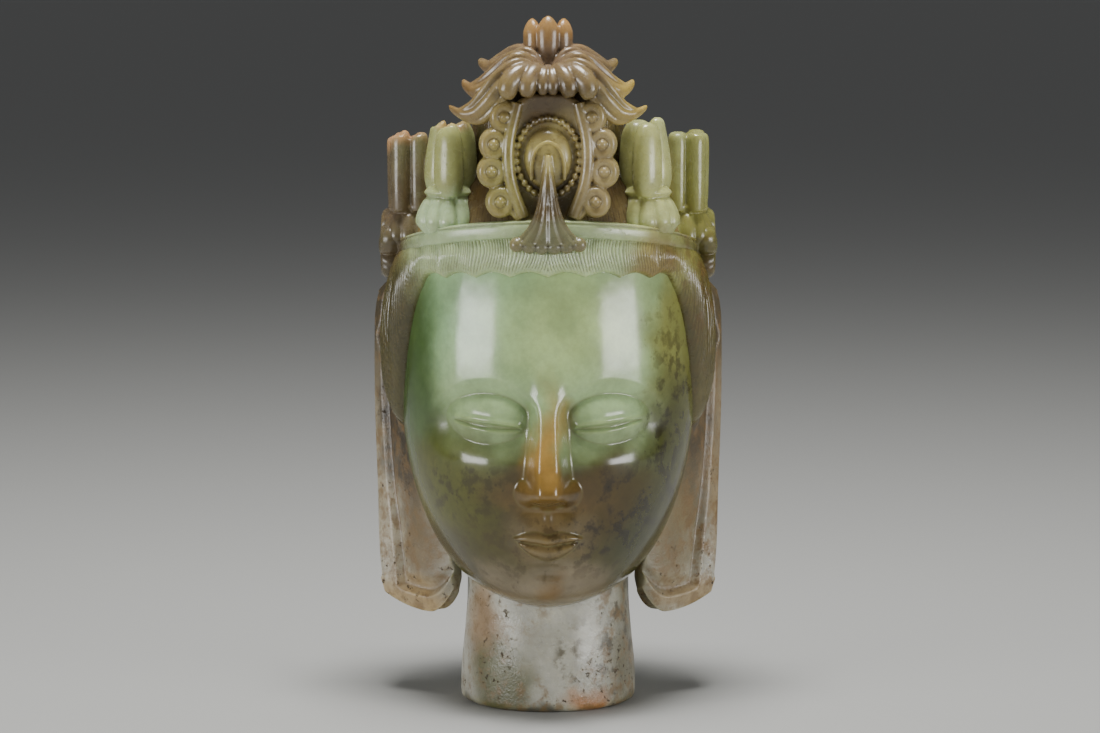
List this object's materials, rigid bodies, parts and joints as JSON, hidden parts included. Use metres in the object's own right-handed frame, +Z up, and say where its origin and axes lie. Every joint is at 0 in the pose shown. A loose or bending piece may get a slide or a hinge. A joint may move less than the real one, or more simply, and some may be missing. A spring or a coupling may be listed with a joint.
{
  "type": "carved jade bodhisattva head",
  "caption": "Crowned bodhisattva head carved in mottled jade, with a high topknot, long ears and a short neck, cut flat, that it stands on.",
  "frame": {"origin": "middle of the flat foot of the neck, on the surface that the head stands on", "axes": "+Z up, -Y the way the face looks, +X to the right of someone who faces it"},
  "size_m": [0.1289, 0.1239, 0.25],
  "materials": {
    "mottled_jade": "polished"
  },
  "bodies": {
    "root": {"guanyin_head": "mottled_jade"}
  },
  "joints": []
}
